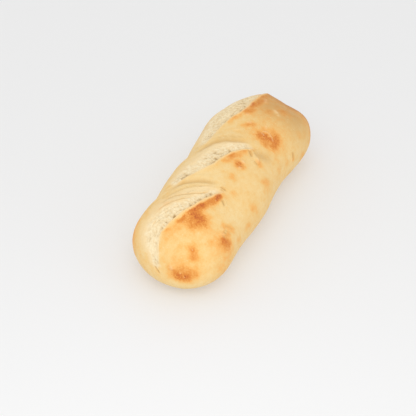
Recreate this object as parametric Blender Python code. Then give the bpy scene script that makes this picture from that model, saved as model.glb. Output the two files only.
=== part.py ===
"""Demi baguette: one short crusty loaf with three slanting scores across its top.

The loaf lies along X with its scores opening towards +Y, and rests on its flat base at z = 0.
Lengths are in metres. Each point of a finely cut block is blown out to the loaf's rounded form.
Then every score lifts a lip of crust on one side of its cut and opens a trough on the other, and
folds of drawn skin run across the top between them.
"""
import bmesh
import bpy
import numpy as np
from mathutils.bvhtree import BVHTree
from mathutils.kdtree import KDTree

# Driving dimensions of the loaf.
LENGTH = 0.201              # end to end
HALF_WIDTH = 0.0327         # from the long axis to either side, between the swellings
HEIGHT = 0.047              # base to crown, between the swellings
AXIS_HEIGHT = 0.0197        # height of the widest line of the sides
MEETING_X = -0.0086         # station where the rounding of the two ends meets
NEAR_POWER = 2.96           # roundness of the end at -X: 2 is an ellipse, more is squarer
FAR_POWER = 4.17            # roundness of the end at +X
SECTION_POWER = 2.2         # roundness of the cross-section
BASE_PRESS = 1.18           # how far the underside is pushed past the table before it is cut flat
BASE_FLARE = 0.8            # below 1 the underside reaches nearer to the tips than the crown does
CROWN_SHARE = 0.4           # share of a swelling's extra width that its crown also gains

# The long axis bends slightly: sideways shift at either tip and at the middle.
NEAR_BEND = -0.0053
MIDDLE_BEND = 0.0026
FAR_BEND = -0.0084

# The three swellings between the scores: station, spread, gain on the +Y side, gain on the -Y side.
SWELLINGS = (
    (-0.0825, 0.0288, 0.317, 0.152),
    (-0.0093, 0.0327, -0.003, 0.164),
    (0.0784, 0.0318, 0.309, 0.088),
)

# Where the dough stands proud or is pinched in: place, radius and rise.
SWELLS = (
    ((0.0935, 0.0040, 0.0420), 0.0120, 0.0030),
    ((0.0930, -0.0160, 0.0400), 0.0110, -0.0012),
    ((0.0830, -0.0330, 0.0250), 0.0160, 0.0010),
)

# Each score: the line of its lip from the -Y end of the cut to the +Y end, then the height of the lip
# and the width and depth of the trough by their share along that line.
SCORES = (
    {
        "line": (
            (-0.0335, -0.0153, 0.0452),
            (-0.0500, -0.0095, 0.0467),
            (-0.0665, -0.0040, 0.0472),
            (-0.0830, 0.0052, 0.0437),
            (-0.0890, 0.0084, 0.0398),
            (-0.0965, 0.0066, 0.0320),
            (-0.0999, 0.0050, 0.0190),
        ),
        "lip": ((0.0, 0.0), (0.12, 0.0024), (0.30, 0.0038), (0.45, 0.0039), (0.60, 0.0024), (0.74, 0.0)),
        "width": ((0.0, 0.005), (0.16, 0.008), (0.37, 0.0155), (0.64, 0.019), (0.82, 0.0097), (1.0, 0.003)),
        "depth": ((0.0, 0.0), (0.16, 0.0024), (0.52, 0.0022), (0.74, 0.0009), (0.90, 0.0004), (1.0, 0.0)),
    },
    {
        "line": (
            (0.0238, -0.0165, 0.0445),
            (0.0113, -0.0084, 0.0473),
            (-0.0020, -0.0026, 0.0483),
            (-0.0155, 0.0015, 0.0485),
            (-0.0270, 0.0092, 0.0477),
            (-0.0410, 0.0203, 0.0439),
        ),
        "lip": ((0.0, 0.0), (0.14, 0.0016), (0.30, 0.0029), (0.50, 0.0031), (0.70, 0.0022), (0.85, 0.0010),
                (1.0, 0.0)),
        "width": ((0.0, 0.0047), (0.12, 0.0087), (0.27, 0.0150), (0.70, 0.0155), (1.0, 0.008)),
        "depth": ((0.0, 0.0), (0.16, 0.0026), (0.70, 0.0024), (0.86, 0.0012), (1.0, 0.0)),
    },
    {
        "line": (
            (0.0905, 0.0000, 0.0440),
            (0.0790, 0.0016, 0.0470),
            (0.0600, 0.0044, 0.0483),
            (0.0480, 0.0102, 0.0472),
            (0.0320, 0.0151, 0.0456),
            (0.0143, 0.0178, 0.0452),
        ),
        "lip": ((0.0, 0.0016), (0.15, 0.0027), (0.30, 0.0030), (0.50, 0.0025), (0.75, 0.0011), (1.0, 0.0)),
        "width": ((0.0, 0.008), (0.11, 0.016), (0.28, 0.026), (0.55, 0.024), (0.76, 0.015), (1.0, 0.006)),
        "depth": ((0.0, 0.0), (0.16, 0.0022), (0.60, 0.0022), (0.84, 0.0011), (1.0, 0.0)),
    },
)
LIP_RUN = 0.0085            # distance behind its edge over which a lip fades into the crust
LIP_CURL = 0.0022           # the same for the edge that curls up last
CURL_SHARE = 0.4            # share of the height that the curl makes
LIP_LEAN = 0.25             # how far the edge leans over the trough, as a share of its height
LIP_FACE = 0.0007           # how far in front of its edge a lip drops into the trough
SOFT_FACE = 0.0030          # how much further the skin takes to dip where the lip lies flat
LOW_LIP = 0.0015            # a lip lower than this has a soft face
TROUGH_RISE = 1.6           # above 1 the trough is deepest close under the lip

# Each fold of drawn skin or hollow beside a lip: its points, half width and depth.
FOLDS = (
    (((-0.0292, -0.0105, 0.0467), (-0.0305, -0.0021, 0.0479), (-0.0345, 0.0090, 0.0475),
      (-0.0388, 0.0169, 0.0454), (-0.0450, 0.0225, 0.0428)), 0.0018, 0.0010),
    (((0.0270, -0.0125, 0.0458), (0.0238, -0.0011, 0.0477), (0.0208, 0.0090, 0.0473),
      (0.0125, 0.0165, 0.0459), (-0.0010, 0.0215, 0.0445)), 0.0024, 0.0011),
    (((0.0185, -0.0120, 0.0462), (0.0222, -0.0216, 0.0417), (0.0262, -0.0290, 0.0350)), 0.0038, 0.0010),
)
FOLD_SHOULDER = 0.5         # height of the ridges beside a fold, as a share of its depth
SHOULDER_PLACE = 2.1        # how far those ridges lie from its bottom, in half widths
SHOULDER_SPREAD = 1.1       # how wide they are, in half widths
FOLD_TAPER = 0.28           # share of a fold over which it fades out at either end

# How finely the block is cut along X, Y and Z, and how it is cut again near the lips and folds.
BLOCK_CUTS = (46, 15, 10)
REFINE_REACH = 0.0046       # the cuts are halved this near to a lip or a fold
KEEP_SHARE = 0.2            # a cut nearer to an edge's end than this share moves that end onto it
LINE_SAMPLES = 160
SMALLEST = 1.0e-9

CRUST_COLOUR = (0.79, 0.53, 0.25, 1.0)
CRUST_ROUGHNESS = 0.62


def clear_scene():
    """Remove whatever the file holds."""
    for item in list(bpy.data.objects):
        bpy.data.objects.remove(item, do_unlink=True)


def smooth_step(low, high, value):
    """Rise smoothly from 0 at low to 1 at high."""
    share = np.clip((value - low) / (high - low), 0.0, 1.0)
    return share * share * (3.0 - 2.0 * share)


def bell(distance, radius):
    """A smooth bump that is 1 at no distance and dies away past the radius."""
    return np.exp(-(distance / radius) ** 2)


def rounded(first, second, power):
    """Pull points of a square outline in to the rounded outline of the given power."""
    size = (np.abs(first) ** power + np.abs(second) ** power) ** (1.0 / power)
    size = np.maximum(size, SMALLEST)
    return first / size, second / size


def loaf_surface(block):
    """The unscored loaf's surface for points of a block that runs from -1 to 1 along each axis."""
    along, across, up = block.T
    from_axis = np.maximum(np.abs(across), np.abs(up))
    end_power = np.where(along < 0.0, NEAR_POWER, FAR_POWER)
    along, girth = rounded(along, from_axis, end_power)
    across, up = rounded(across, up, SECTION_POWER)

    near_reach = LENGTH / 2.0 + MEETING_X
    far_reach = LENGTH / 2.0 - MEETING_X
    x = MEETING_X + along * np.where(along < 0.0, near_reach, far_reach)

    left = np.ones_like(x)
    right = np.ones_like(x)
    for station, spread, left_gain, right_gain in SWELLINGS:
        swelling = bell(x - station, spread)
        left += left_gain * swelling
        right += right_gain * swelling
    bend = MIDDLE_BEND * (1.0 - along ** 2)
    bend += NEAR_BEND * np.clip(-along, 0.0, 1.0) ** 2
    bend += FAR_BEND * np.clip(along, 0.0, 1.0) ** 2
    half_width = HALF_WIDTH * girth * np.where(across > 0.0, left, right)
    y = bend + half_width * across

    crown = HEIGHT * (1.0 + CROWN_SHARE * ((left + right) / 2.0 - 1.0))
    above = (crown - AXIS_HEIGHT) * girth
    below = AXIS_HEIGHT * BASE_PRESS * girth ** BASE_FLARE
    z = AXIS_HEIGHT + up * np.where(up > 0.0, above, below)
    return np.stack((x, y, np.maximum(z, 0.0)), axis=1)


def shape_of(mesh):
    """The places and outward directions that a block's vertices take on the unscored loaf."""
    block = np.array([vertex.co[:] for vertex in mesh.verts])
    points = loaf_surface(block)
    form = mesh.copy()
    for vertex, point in zip(form.verts, points):
        vertex.co = point
    form.normal_update()
    normals = np.array([vertex.normal[:] for vertex in form.verts])
    form.free()
    return points, normals


def cut_block():
    """A cube from -1 to 1 whose faces are cut into a grid."""
    mesh = bmesh.new()
    bmesh.ops.create_cube(mesh, size=2.0)
    for axis, cuts in enumerate(BLOCK_CUTS):
        edges = [edge for edge in mesh.edges if abs((edge.verts[0].co - edge.verts[1].co)[axis]) > 1.0]
        bmesh.ops.subdivide_edges(mesh, edges=edges, cuts=cuts, use_grid_fill=True)
    return mesh


def curve_through(points):
    """Points of the smooth curve that passes through the given ones."""
    points = np.array(points)
    before_first = 2.0 * points[0] - points[1]
    after_last = 2.0 * points[-1] - points[-2]
    knots = np.vstack((before_first, points, after_last))
    place = np.linspace(0.0, len(points) - 1 - SMALLEST, LINE_SAMPLES)
    span = place.astype(int)
    t = (place - span)[:, None]
    before, start, end, after = (knots[span + shift] for shift in range(4))
    bow = 2.0 * before - 5.0 * start + 4.0 * end - after
    twist = 3.0 * start - before - 3.0 * end + after
    return 0.5 * (2.0 * start + (end - before) * t + bow * t ** 2 + twist * t ** 3)


def laid_line(mesh, line_points):
    """The curve through some points, laid onto the unscored loaf."""
    points, _ = shape_of(mesh)
    form = mesh.copy()
    for vertex, point in zip(form.verts, points):
        vertex.co = point
    skin = BVHTree.FromBMesh(form)
    form.free()
    return np.array([skin.find_nearest(point)[0][:] for point in curve_through(line_points)])


def place_on_line(points, normals, line):
    """Where points lie by a line on the surface.

    Gives each point's share along the line, its distance across (positive in front of the lip),
    the direction across, and its distance past the line's ends.
    """
    tree = KDTree(len(line))
    for index, sample in enumerate(line):
        tree.insert(sample, index)
    tree.balance()
    nearest = np.array([tree.find(point)[1] for point in points])
    steps = np.linalg.norm(np.diff(line, axis=0), axis=1)
    run = np.concatenate(([0.0], np.cumsum(steps)))
    tangents = np.gradient(line, axis=0)
    tangents /= np.linalg.norm(tangents, axis=1)[:, None]
    tangent = tangents[nearest]
    offset = points - line[nearest]
    ahead = np.sum(offset * tangent, axis=1)
    place = run[nearest] + ahead
    past_ends = np.maximum(place - run[-1], 0.0) + np.maximum(-place, 0.0)
    sideways = np.cross(tangent, normals)
    sideways /= np.maximum(np.linalg.norm(sideways, axis=1), SMALLEST)[:, None]
    aside = offset - tangent * ahead[:, None]
    across = np.linalg.norm(aside, axis=1) * np.sign(np.sum(aside * sideways, axis=1))
    return np.clip(place / run[-1], 0.0, 1.0), across, sideways, past_ends


def refine_near(mesh, line):
    """Halve the cuts of the block where it lands near a line."""
    points, normals = shape_of(mesh)
    _, across, _, past_ends = place_on_line(points, normals, line)
    near = np.hypot(across, past_ends) < REFINE_REACH
    mesh.verts.index_update()
    edges = set()
    for face in mesh.faces:
        if any(near[vertex.index] for vertex in face.verts):
            edges.update(face.edges)
    mesh.edges.index_update()
    edges = sorted(edges, key=lambda edge: edge.index)
    bmesh.ops.subdivide_edges(mesh, edges=edges, cuts=1, use_grid_fill=True)


def cut_beside(mesh, line, distance):
    """Cut the block's faces along the line that runs at a distance in front of a lip."""
    points, normals = shape_of(mesh)
    _, across, _, past_ends = place_on_line(points, normals, line)
    short_of = across - distance
    mesh.verts.index_update()
    moves = {}
    crossings = []
    for edge in mesh.edges:
        first, second = (vertex.index for vertex in edge.verts)
        length = np.linalg.norm(points[first] - points[second])
        crosses = short_of[first] * short_of[second] < 0.0
        nearby = max(abs(short_of[first]), abs(short_of[second])) < 2.0 * length
        if crosses and nearby and max(past_ends[first], past_ends[second]) == 0.0:
            share = short_of[first] / (short_of[first] - short_of[second])
            crossings.append((edge, first, second, share))
            place = edge.verts[0].co.lerp(edge.verts[1].co, share)
            if share < KEEP_SHARE:
                moves[first] = (edge.verts[0], place)
            elif share > 1.0 - KEEP_SHARE:
                moves[second] = (edge.verts[1], place)
    on_cut = []
    for edge, first, second, share in crossings:
        if first not in moves and second not in moves:
            on_cut.append(bmesh.utils.edge_split(edge, edge.verts[0], share)[1])
    for vertex, place in moves.values():
        vertex.co = place
        on_cut.append(vertex)
    bmesh.ops.connect_verts(mesh, verts=on_cut)


def by_share(table, share):
    """A value that a table gives for shares along a line."""
    places, values = zip(*table)
    return np.interp(share, places, values)


def score_relief(points, normals, score, line):
    """The shift of every surface point that one score makes."""
    share, across, sideways, past_ends = place_on_line(points, normals, line)
    fade = bell(past_ends, LIP_RUN)
    lip = by_share(score["lip"], share) * fade
    raised = np.minimum(lip / LOW_LIP, 1.0)
    face = 1.0 - smooth_step(0.0, LIP_FACE + SOFT_FACE * (1.0 - raised), across)
    behind = np.minimum(across, 0.0)
    curl = np.exp(behind / LIP_CURL)
    rise = lip * face * ((1.0 - CURL_SHARE) * np.exp(behind / LIP_RUN) + CURL_SHARE * curl)
    floor = np.clip(1.0 - across / by_share(score["width"], share), 0.0, 1.0) ** TROUGH_RISE
    trough = by_share(score["depth"], share) * fade * floor * (1.0 - face)
    lean = LIP_LEAN * lip * face * curl
    return normals * (rise - trough)[:, None] + sideways * lean[:, None]


def fold_relief(points, normals, line, half_width, depth):
    """The shift of every surface point that one fold makes: a groove between two low ridges."""
    share, across, _, past_ends = place_on_line(points, normals, line)
    ends = smooth_step(0.0, FOLD_TAPER, share) * (1.0 - smooth_step(1.0 - FOLD_TAPER, 1.0, share))
    ends *= bell(past_ends, half_width)
    groove = bell(across, half_width)
    ridges = bell(np.abs(across) - SHOULDER_PLACE * half_width, SHOULDER_SPREAD * half_width)
    return normals * (depth * ends * (FOLD_SHOULDER * ridges - groove))[:, None]


def build_loaf():
    """The scored loaf as one closed mesh."""
    mesh = cut_block()
    lines = [laid_line(mesh, score["line"]) for score in SCORES]
    folds = [(laid_line(mesh, line_points), half_width, depth) for line_points, half_width, depth in FOLDS]
    for line in lines + [fold[0] for fold in folds]:
        refine_near(mesh, line)
    for line in lines:
        cut_beside(mesh, line, 0.0)
        cut_beside(mesh, line, LIP_FACE)

    points, normals = shape_of(mesh)
    shift = np.zeros_like(points)
    for score, line in zip(SCORES, lines):
        shift += score_relief(points, normals, score, line)
    for fold_line, half_width, depth in folds:
        shift += fold_relief(points, normals, fold_line, half_width, depth)
    for place, radius, rise in SWELLS:
        distance = np.linalg.norm(points - np.array(place), axis=1)
        shift += normals * (rise * bell(distance, radius))[:, None]
    points += shift
    points[:, 2] = np.maximum(points[:, 2], 0.0)
    points[:, :2] -= (points[:, :2].min(axis=0) + points[:, :2].max(axis=0)) / 2.0
    for vertex, point in zip(mesh.verts, points):
        vertex.co = point
    bmesh.ops.triangulate(mesh, faces=mesh.faces[:])
    bmesh.ops.recalc_face_normals(mesh, faces=mesh.faces[:])
    return mesh


def crust_material():
    """Pale golden baked crust."""
    material = bpy.data.materials.new("crust")
    material.use_nodes = True
    shader = material.node_tree.nodes["Principled BSDF"]
    shader.inputs["Base Color"].default_value = CRUST_COLOUR
    shader.inputs["Roughness"].default_value = CRUST_ROUGHNESS
    shader.inputs["Metallic"].default_value = 0.0
    return material


def add_loaf():
    """The loaf as a named object with its crust."""
    mesh = build_loaf()
    data = bpy.data.meshes.new("loaf")
    mesh.to_mesh(data)
    mesh.free()
    data.materials.append(crust_material())
    data.shade_smooth()
    loaf = bpy.data.objects.new("loaf", data)
    bpy.context.scene.collection.objects.link(loaf)


clear_scene()
add_loaf()
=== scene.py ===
import math

import bmesh
import bpy
import numpy as np
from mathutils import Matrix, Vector, noise
from mathutils.bvhtree import BVHTree
from mathutils.kdtree import KDTree


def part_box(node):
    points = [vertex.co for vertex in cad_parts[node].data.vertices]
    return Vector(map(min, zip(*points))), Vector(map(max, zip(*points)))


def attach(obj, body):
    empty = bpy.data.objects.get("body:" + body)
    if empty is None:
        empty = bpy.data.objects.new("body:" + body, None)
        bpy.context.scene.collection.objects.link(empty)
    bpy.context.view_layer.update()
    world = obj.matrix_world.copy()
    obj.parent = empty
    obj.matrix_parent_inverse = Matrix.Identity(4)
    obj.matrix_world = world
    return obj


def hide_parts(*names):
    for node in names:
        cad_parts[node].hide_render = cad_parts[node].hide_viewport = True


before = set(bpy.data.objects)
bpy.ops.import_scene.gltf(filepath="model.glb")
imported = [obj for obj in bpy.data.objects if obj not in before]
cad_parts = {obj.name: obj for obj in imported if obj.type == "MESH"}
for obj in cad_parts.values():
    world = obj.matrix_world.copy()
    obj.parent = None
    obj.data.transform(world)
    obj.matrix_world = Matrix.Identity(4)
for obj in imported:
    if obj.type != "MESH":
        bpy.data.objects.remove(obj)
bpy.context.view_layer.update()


# ---------------------------------------------------------------- the dough's form
# The real loaf is one piece of white yeast dough, rolled into a short stick, risen until it swells
# between its cuts, and baked lying on a flat floor, which presses its underside flat.

LENGTH = 0.201
HALF_WIDTH = 0.0327
HEIGHT = 0.047
AXIS_HEIGHT = 0.0197
MEETING_X = -0.0086
NEAR_POWER = 2.96
FAR_POWER = 4.17
SECTION_POWER = 2.2
BASE_PRESS = 1.18
BASE_FLARE = 0.8
BASE_ROUNDING = 0.0006
CROWN_SHARE = 0.4
NEAR_BEND = -0.0053
MIDDLE_BEND = 0.0026
FAR_BEND = -0.0084

# Station, spread, gain on the +Y side and gain on the -Y side of each swelling.
SWELLINGS = (
    (-0.0825, 0.0288, 0.317, 0.152),
    (-0.0093, 0.0327, -0.003, 0.164),
    (0.0784, 0.0318, 0.309, 0.088),
)

# Where the dough stands proud or is pinched in: place, radius and rise.
SWELLS = (
    ((0.0935, 0.0040, 0.0420), 0.0120, 0.0030),
    ((0.0930, -0.0160, 0.0400), 0.0110, -0.0012),
    ((0.0830, -0.0330, 0.0250), 0.0160, 0.0010),
    ((0.0130, 0.0290, 0.0370), 0.0105, -0.0024),
    ((-0.0400, 0.0312, 0.0340), 0.0080, -0.0014),
    ((0.0740, 0.0285, 0.0370), 0.0085, -0.0012),
    ((0.0867, -0.0210, 0.0419), 0.0085, -0.0017),
)
BLOCK_SIZE = 2.0
DOUGH_CUTS = (140, 50, 35)
SMALLEST = 1.0e-9


def smooth_step(low, high, value):
    """Rise smoothly from 0 at low to 1 at high."""
    share = np.clip((value - low) / (high - low), 0.0, 1.0)
    return share * share * (3.0 - 2.0 * share)


def bell(distance, radius):
    """A smooth bump that is 1 at no distance and dies away past the radius."""
    return np.exp(-(distance / radius) ** 2)


def rounded(first, second, power):
    """Pull points of a square outline in to the rounded outline of the given power."""
    size = (np.abs(first) ** power + np.abs(second) ** power) ** (1.0 / power)
    size = np.maximum(size, SMALLEST)
    return first / size, second / size


def dough_surface(block):
    """The uncut loaf's surface for points of a block that runs from -1 to 1 along each axis."""
    along, across, up = block.T
    from_axis = np.maximum(np.abs(across), np.abs(up))
    end_power = np.where(along < 0.0, NEAR_POWER, FAR_POWER)
    along, girth = rounded(along, from_axis, end_power)
    across, up = rounded(across, up, SECTION_POWER)
    near_reach = LENGTH / 2.0 + MEETING_X
    far_reach = LENGTH / 2.0 - MEETING_X
    x = MEETING_X + along * np.where(along < 0.0, near_reach, far_reach)
    left = np.ones_like(x)
    right = np.ones_like(x)
    for station, spread, left_gain, right_gain in SWELLINGS:
        swelling = bell(x - station, spread)
        left += left_gain * swelling
        right += right_gain * swelling
    bend = MIDDLE_BEND * (1.0 - along ** 2)
    bend += NEAR_BEND * np.clip(-along, 0.0, 1.0) ** 2
    bend += FAR_BEND * np.clip(along, 0.0, 1.0) ** 2
    y = bend + HALF_WIDTH * girth * np.where(across > 0.0, left, right) * across
    crown = HEIGHT * (1.0 + CROWN_SHARE * ((left + right) / 2.0 - 1.0))
    above = (crown - AXIS_HEIGHT) * girth
    below = AXIS_HEIGHT * BASE_PRESS * girth ** BASE_FLARE
    z = AXIS_HEIGHT + up * np.where(up > 0.0, above, below)
    z = (z + np.sqrt(z ** 2 + BASE_ROUNDING ** 2)) / 2.0
    return np.stack((x, y, z), axis=1)


def set_places(mesh, places):
    """Put a mesh's vertices at the given places."""
    for vertex, place in zip(mesh.verts, places.tolist()):
        vertex.co = place


def shape_of(mesh):
    """The places and outward directions that a block's vertices take on the uncut loaf."""
    points = dough_surface(np.array([vertex.co[:] for vertex in mesh.verts]))
    form = mesh.copy()
    set_places(form, points)
    form.normal_update()
    normals = np.array([vertex.normal[:] for vertex in form.verts])
    form.free()
    return points, normals


def spans_block(edge, axis):
    """Whether an edge still runs along an axis from one side of the block to the other."""
    first, second = edge.verts
    return abs(first.co[axis] - second.co[axis]) > BLOCK_SIZE / 2.0


dough = bmesh.new()
bmesh.ops.create_cube(dough, size=BLOCK_SIZE)
for axis, cuts in enumerate(DOUGH_CUTS):
    edges = [edge for edge in dough.edges if spans_block(edge, axis)]
    bmesh.ops.subdivide_edges(dough, edges=edges, cuts=cuts, use_grid_fill=True)


# ---------------------------------------------------------------- blisters
# Gas that comes up under the skin while it sets lifts it into small blisters and short low ridges. The
# block's faces are halved twice round each one, so that it keeps its round shape.

# Each blister or low ridge: from, to, radius, rise and how strongly a highlight is painted on its top.
BLISTERS = (
    ((0.0032, -0.0144, 0.0460), (0.0024, -0.0150, 0.0458), 0.0013, 0.0007, 0.55),
    ((-0.0044, -0.0151, 0.0459), (-0.0048, -0.0152, 0.0459), 0.0012, 0.0005, 0.35),
    ((0.0132, -0.0210, 0.0425), (0.0124, -0.0218, 0.0421), 0.0016, 0.0009, 0.45),
    ((0.0183, -0.0152, 0.0451), (0.0140, -0.0202, 0.0430), 0.0015, 0.0006, 0.0),
    ((0.0697, -0.0140, 0.0472), (0.0687, -0.0156, 0.0468), 0.0015, 0.0005, 0.50),
    ((0.0668, -0.0172, 0.0462), (0.0666, -0.0176, 0.0461), 0.0010, 0.0003, 0.35),
    ((0.0480, -0.0020, 0.0481), (0.0482, -0.0032, 0.0480), 0.0012, 0.0004, 0.40),
    ((0.0556, 0.0014, 0.0484), (0.0555, 0.0018, 0.0484), 0.0012, 0.0003, 0.35),
    ((0.0502, -0.0141, 0.0463), (0.0484, -0.0148, 0.0461), 0.0010, 0.0003, 0.35),
    ((0.0798, -0.0032, 0.0469), (0.0762, -0.0045, 0.0478), 0.0013, 0.0005, 0.28),
    ((0.0364, 0.0038, 0.0476), (0.0376, 0.0020, 0.0477), 0.0010, 0.0003, 0.35),
    ((-0.1002, -0.0035, 0.0258), (-0.1003, -0.0037, 0.0246), 0.0014, 0.0006, 0.45),
    ((-0.0704, -0.0270, 0.0376), (-0.0696, -0.0276, 0.0371), 0.0014, 0.0005, 0.25),
    ((-0.0670, -0.0256, 0.0387), (-0.0662, -0.0260, 0.0384), 0.0012, 0.0004, 0.20),
    ((0.0500, -0.0345, 0.0240), (0.0493, -0.0343, 0.0222), 0.0012, 0.0004, 0.35),
    ((0.0440, -0.0146, 0.0458), (0.0452, -0.0166, 0.0451), 0.0007, 0.0005, 0.42),
    ((0.0450, -0.0182, 0.0445), (0.0436, -0.0204, 0.0432), 0.0007, 0.0005, 0.38),
    ((0.0428, -0.0214, 0.0426), (0.0414, -0.0226, 0.0417), 0.0007, 0.0004, 0.30),
    ((0.0418, -0.0142, 0.0457), (0.0412, -0.0156, 0.0452), 0.0007, 0.0004, 0.30),
)
BLISTER_MARGIN = 0.0022
BLISTER_HALVINGS = 2


def from_segment(points, start, end):
    """Each point's distance from a short straight line."""
    start, end = np.array(start), np.array(end)
    run = end - start
    place = np.clip((points - start) @ run / (run @ run), 0.0, 1.0)
    return np.linalg.norm(points - start - place[:, None] * run, axis=1)


def refine_where(mesh, wanted):
    """Halve the faces that have a wanted vertex."""
    mesh.verts.index_update()
    edges = {}
    for face in mesh.faces:
        if any(wanted[vertex.index] for vertex in face.verts):
            edges.update((edge, None) for edge in face.edges)
    bmesh.ops.subdivide_edges(mesh, edges=list(edges), cuts=1, use_grid_fill=True)


for _ in range(BLISTER_HALVINGS):
    points, _ = shape_of(dough)
    wanted = np.zeros(len(points), dtype=bool)
    for start, end, _, _, _ in BLISTERS:
        wanted |= from_segment(points, start, end) < BLISTER_MARGIN
    refine_where(dough, wanted)


# ---------------------------------------------------------------- the blade's three cuts
# Before baking, a blade slits the dough's skin at a low slant, in three strokes across the loaf. The
# skin is one thin sheet there, so the block's faces are cut finely along each stroke.

# Each score: the line of its lip from the -Y end of the stroke to the +Y end and how coarse its crumb is.
# The tables give, by the share along that line, the height of the lip, the width and depth of the torn
# crumb, how far the skin beyond is stretched, and how brown the lip is, how far behind its rim the
# browning starts and how far it spreads.
SCORES = (
    {
        "line": (
            (-0.0335, -0.0153, 0.0452), (-0.0500, -0.0095, 0.0467), (-0.0665, -0.0040, 0.0472),
            (-0.0830, 0.0052, 0.0437), (-0.0890, 0.0084, 0.0398), (-0.0965, 0.0066, 0.0320),
            (-0.0999, 0.0050, 0.0190),
        ),
        "coarse": 0.72,
        "lip": ((0.0, 0.0), (0.12, 0.0024), (0.30, 0.0038), (0.45, 0.0039), (0.60, 0.0024),
                (0.74, 0.0)),
        "width": ((0.0, 0.005), (0.16, 0.008), (0.37, 0.0155), (0.64, 0.019), (0.82, 0.0090),
                  (0.90, 0.0056), (1.0, 0.003)),
        "depth": ((0.0, 0.0), (0.16, 0.0024), (0.52, 0.0022), (0.74, 0.0009), (0.90, 0.0004),
                  (1.0, 0.0)),
        "stretch": ((0.0, 0.008), (0.20, 0.022), (0.45, 0.030), (0.62, 0.026), (0.75, 0.018),
                    (1.0, 0.004)),
        "brown": ((0.0, 0.0), (0.06, 0.25), (0.10, 0.95), (0.22, 0.76), (0.36, 0.92), (0.50, 0.78),
                  (0.60, 0.50), (0.70, 0.30), (0.77, 0.0)),
        "gold": ((0.0, 0.0002), (0.08, 0.0004), (0.18, 0.0010), (0.32, 0.0015), (0.44, 0.0010),
                 (0.52, 0.0020), (0.60, 0.0026), (0.68, 0.0014), (0.76, 0.0003)),
        "spread": ((0.0, 0.0022), (0.10, 0.0036), (0.25, 0.0048), (0.45, 0.0056), (0.60, 0.0050),
                   (0.76, 0.0034)),
    },
    {
        "line": (
            (0.0238, -0.0165, 0.0445), (0.0113, -0.0084, 0.0473), (-0.0020, -0.0026, 0.0483),
            (-0.0155, 0.0015, 0.0485), (-0.0270, 0.0092, 0.0477), (-0.0410, 0.0203, 0.0439),
        ),
        "coarse": 1.0,
        "lip": ((0.0, 0.0), (0.14, 0.0016), (0.30, 0.0029), (0.50, 0.0031), (0.70, 0.0022),
                (0.85, 0.0010), (1.0, 0.0)),
        "width": ((0.0, 0.0047), (0.12, 0.0087), (0.27, 0.0150), (0.70, 0.0155), (1.0, 0.008)),
        "depth": ((0.0, 0.0), (0.16, 0.0026), (0.70, 0.0024), (0.86, 0.0012), (1.0, 0.0)),
        "stretch": ((0.0, 0.006), (0.30, 0.022), (0.60, 0.024), (0.80, 0.020), (1.0, 0.010)),
        "brown": ((0.0, 0.1), (0.10, 0.40), (0.20, 0.70), (0.32, 0.62), (0.42, 0.42), (0.55, 0.26),
                  (0.70, 0.1), (1.0, 0.0)),
        "gold": ((0.0, 0.0003), (0.30, 0.0009), (1.0, 0.0006)),
        "spread": ((0.0, 0.0024), (0.20, 0.0040), (1.0, 0.0034)),
    },
    {
        "line": (
            (0.0905, 0.0000, 0.0440), (0.0790, 0.0016, 0.0470), (0.0600, 0.0044, 0.0483),
            (0.0480, 0.0102, 0.0472), (0.0320, 0.0151, 0.0456), (0.0143, 0.0178, 0.0452),
        ),
        "coarse": 1.0,
        "lip": ((0.0, 0.0016), (0.15, 0.0027), (0.30, 0.0030), (0.50, 0.0025), (0.75, 0.0011),
                (1.0, 0.0)),
        "width": ((0.0, 0.008), (0.11, 0.016), (0.28, 0.026), (0.55, 0.024), (0.76, 0.015),
                  (1.0, 0.006)),
        "depth": ((0.0, 0.0), (0.16, 0.0022), (0.60, 0.0022), (0.84, 0.0011), (1.0, 0.0)),
        "stretch": ((0.0, 0.010), (0.28, 0.034), (0.55, 0.030), (0.76, 0.022), (1.0, 0.008)),
        "brown": ((0.0, 0.35), (0.10, 0.55), (0.30, 0.66), (0.45, 0.54), (0.58, 0.34), (0.75, 0.0),
                  (1.0, 0.0)),
        "gold": ((0.0, 0.0012), (0.20, 0.0012), (0.35, 0.0004), (1.0, 0.0004)),
        "spread": ((0.0, 0.0036), (0.50, 0.0040), (1.0, 0.0030)),
    },
)
LINE_SAMPLES = 240
LINE_WANDER = 0.0006
LIP_FACE = 0.0005
RIM_THICKNESS = 0.0002
LIP_CUTS = (-0.0008, 0.0, RIM_THICKNESS, LIP_FACE)
KEEP_SHARE = 0.2

# An edge whose ends lie further from a cut than this many of its lengths doesn't really cross it.
CROSSING_REACH = 2.0

# How far behind each lip, and beyond its crumb, the faces are halved and halved again.
FINE_MARGINS = ((0.0045, 0.0060), (0.0018, 0.0010))

# Unevenness is given by the length of its bumps and a seed, which sets where in the noise it is taken.
LINE_WAVES = (0.0065, 1)
SEED_STEPS = (7.3, 3.1, 5.7)


def curve_through(points):
    """Points of the smooth curve that passes through the given ones."""
    points = np.array(points)
    before_first = 2.0 * points[0] - points[1]
    after_last = 2.0 * points[-1] - points[-2]
    knots = np.vstack((before_first, points, after_last))
    place = np.linspace(0.0, len(points) - 1 - SMALLEST, LINE_SAMPLES)
    span = place.astype(int)
    t = (place - span)[:, None]
    before, start, end, after = (knots[span + shift] for shift in range(4))
    bow = 2.0 * before - 5.0 * start + 4.0 * end - after
    twist = 3.0 * start - before - 3.0 * end + after
    return 0.5 * (2.0 * start + (end - before) * t + bow * t ** 2 + twist * t ** 3)


def ripple(points, length, seed, number=0):
    """Smooth unevenness from -1 to 1, with bumps of about the given length, for one of like parts."""
    offset = Vector([(seed + number) * step for step in SEED_STEPS])
    return np.array([noise.noise(Vector(point) / length + offset) for point in points.tolist()])


def by_share(table, share):
    """A value that a table gives for shares along a line."""
    places, values = zip(*table)
    return np.interp(share, places, values)


def laid_on(skin, line):
    """A line's points moved onto the loaf's skin."""
    return np.array([skin.find_nearest(point)[0][:] for point in line.tolist()])


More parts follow.
